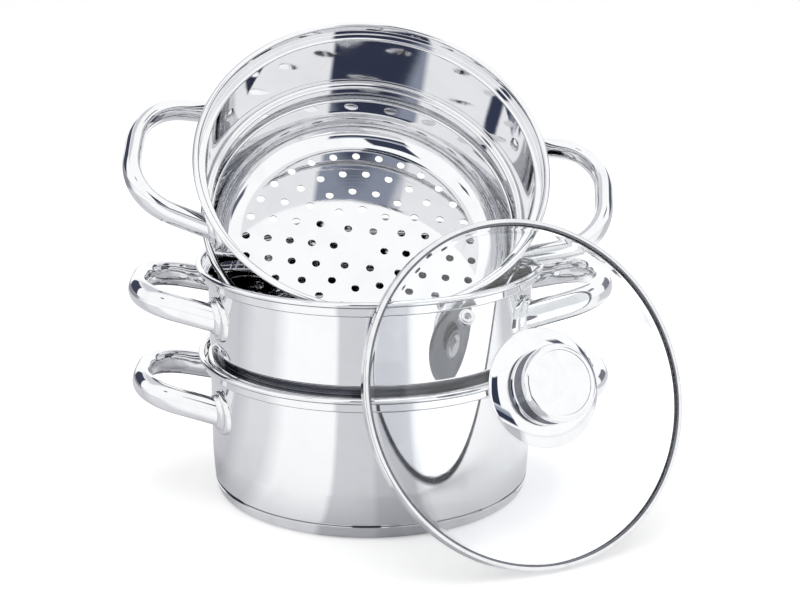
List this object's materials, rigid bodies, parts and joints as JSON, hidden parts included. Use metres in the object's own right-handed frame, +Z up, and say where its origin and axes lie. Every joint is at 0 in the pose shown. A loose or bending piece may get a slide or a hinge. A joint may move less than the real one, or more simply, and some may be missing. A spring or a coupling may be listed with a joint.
{
  "type": "steamer pot",
  "caption": "Stovetop steamer pot: clad-base pot, two perforated steamers that nest in its rim, tube handles and a glass lid with a steel knob.",
  "frame": {"origin": "centre of the underside of the pot's base, which rests on the table", "axes": "+Z up, +X along the handles of the pot, -Y towards the side on which the lid leans"},
  "size_m": [0.2996, 0.2438, 0.2558],
  "materials": {
    "vessel_steel": "mirror polished stainless sheet",
    "base_steel": "mirror polished stainless sheet",
    "handle_steel": "mirror polished stainless tube",
    "plate_steel": "mirror polished stainless",
    "rivet_steel": "polished stainless",
    "band_steel": "polished stainless strip",
    "vent_steel": "polished stainless",
    "knob_steel": "mirror polished stainless sheet",
    "screw_steel": "plain stainless",
    "base_aluminium": "plain disc",
    "knob_aluminium": "turned",
    "lid_glass": "clear toughened glass",
    "seal_silicone": "translucent silicone"
  },
  "bodies": {
    "pot": {"pot_shell": "vessel_steel", "pot_base_core": "base_aluminium", "pot_base_cap": "base_steel", "pot_handle_right": "handle_steel", "pot_handle_left": "handle_steel", "pot_handle_plates": "plate_steel", "pot_rivets": "rivet_steel"},
    "lower_steamer": {"lower_steamer_shell": "vessel_steel", "lower_steamer_handle_right": "handle_steel", "lower_steamer_handle_left": "handle_steel", "lower_steamer_handle_plates": "plate_steel", "lower_steamer_rivets": "rivet_steel"},
    "upper_steamer": {"upper_steamer_shell": "vessel_steel", "upper_steamer_handle_right": "handle_steel", "upper_steamer_handle_left": "handle_steel", "upper_steamer_handle_plates": "plate_steel", "upper_steamer_rivets": "rivet_steel"},
    "lid": {"lid_glass": "lid_glass", "lid_rim_band": "band_steel", "lid_vent_eyelet": "vent_steel", "knob_base_plate": "knob_steel", "knob_shell": "knob_steel", "knob_core": "knob_aluminium", "knob_cap": "knob_steel", "knob_seals": "seal_silicone", "knob_washer": "screw_steel", "knob_screw": "screw_steel"}
  },
  "joints": [
    {"name": "lower_steamer_lift", "type": "slide", "parent": "pot", "child": "lower_steamer", "axis": [0, 0, 1], "range_m": [0, 0.06]},
    {"name": "upper_steamer_lift", "type": "slide", "parent": "lower_steamer", "child": "upper_steamer", "axis": [0, 0.5736, 0.8192], "range_m": [0, 0.09]},
    {"name": "lid_lift", "type": "slide", "parent": "lower_steamer", "child": "lid", "axis": [0.3686, -0.828, 0.4226], "range_m": [0, 0.06]}
  ]
}
